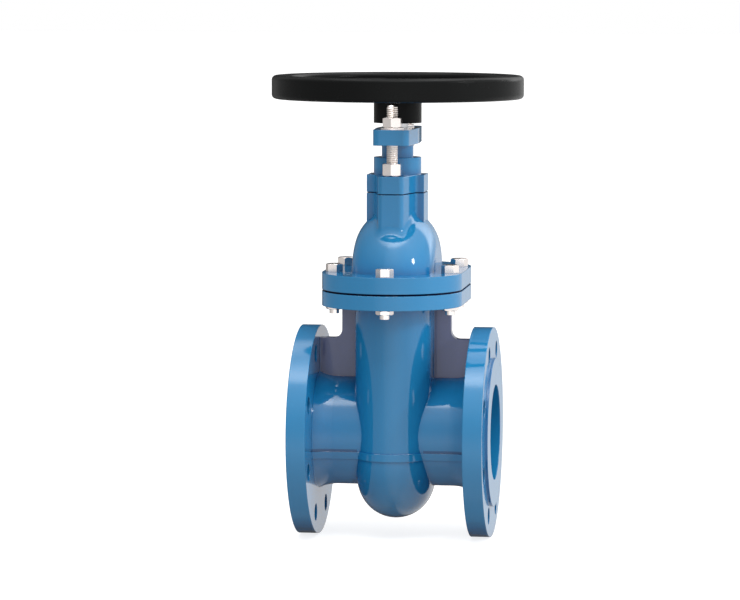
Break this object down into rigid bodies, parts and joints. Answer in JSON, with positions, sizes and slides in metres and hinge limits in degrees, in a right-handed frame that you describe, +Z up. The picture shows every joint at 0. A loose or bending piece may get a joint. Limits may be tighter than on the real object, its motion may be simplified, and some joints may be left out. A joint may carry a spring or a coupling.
{
  "type": "flanged gate valve with non-rising stem",
  "caption": "Flanged pipe gate valve with an oval body, bolted bonnet, gland packing and a handwheel on a non-rising stem.",
  "frame": {"origin": "centre of the inlet flange's raised face, on the bore axis", "axes": "+X along the flow from inlet to outlet, +Z up along the stem"},
  "size_m": [0.263, 0.263, 0.4828],
  "materials": {
    "paint": "gloss enamel over the castings",
    "black_paint": "satin black enamel",
    "zinc": "bright zinc plate",
    "stem_steel": "turned stainless steel",
    "bronze": "machined bronze",
    "gasket": "dark fibre gasket",
    "packing": "graphited braid"
  },
  "bodies": {
    "valve": {"body": "paint", "seat_inlet": "bronze", "seat_outlet": "bronze", "bonnet_gasket": "gasket", "bonnet": "paint", "bonnet_bolts": "zinc", "bonnet_nuts": "zinc", "stuffing_box": "paint", "box_gasket": "gasket", "packing": "packing", "gland": "paint", "gland_stud_front": "zinc", "gland_stud_back": "zinc", "box_nuts": "zinc", "gland_nuts": "zinc", "gland_washers": "zinc"},
    "wheel": {"stem": "stem_steel", "handwheel": "black_paint", "wheel_washer": "zinc", "wheel_nut": "zinc"},
    "gate": {"wedge": "paint", "wedge_ring_inlet": "bronze", "wedge_ring_outlet": "bronze", "stem_nut": "bronze"}
  },
  "joints": [
    {"name": "wheel_turn", "type": "hinge", "parent": "valve", "child": "wheel", "pos_m": [0.104, 0, 0.33], "axis": [0, 0, 1], "range_deg": [0, 6480]},
    {"name": "gate_lift", "type": "slide", "parent": "valve", "child": "gate", "axis": [0, 0, 1], "range_m": [0, 0.108]}
  ],
  "couplings": [
    {"joint": "gate_lift", "follows": "wheel_turn", "m_per_rad": 0.0009549}
  ]
}
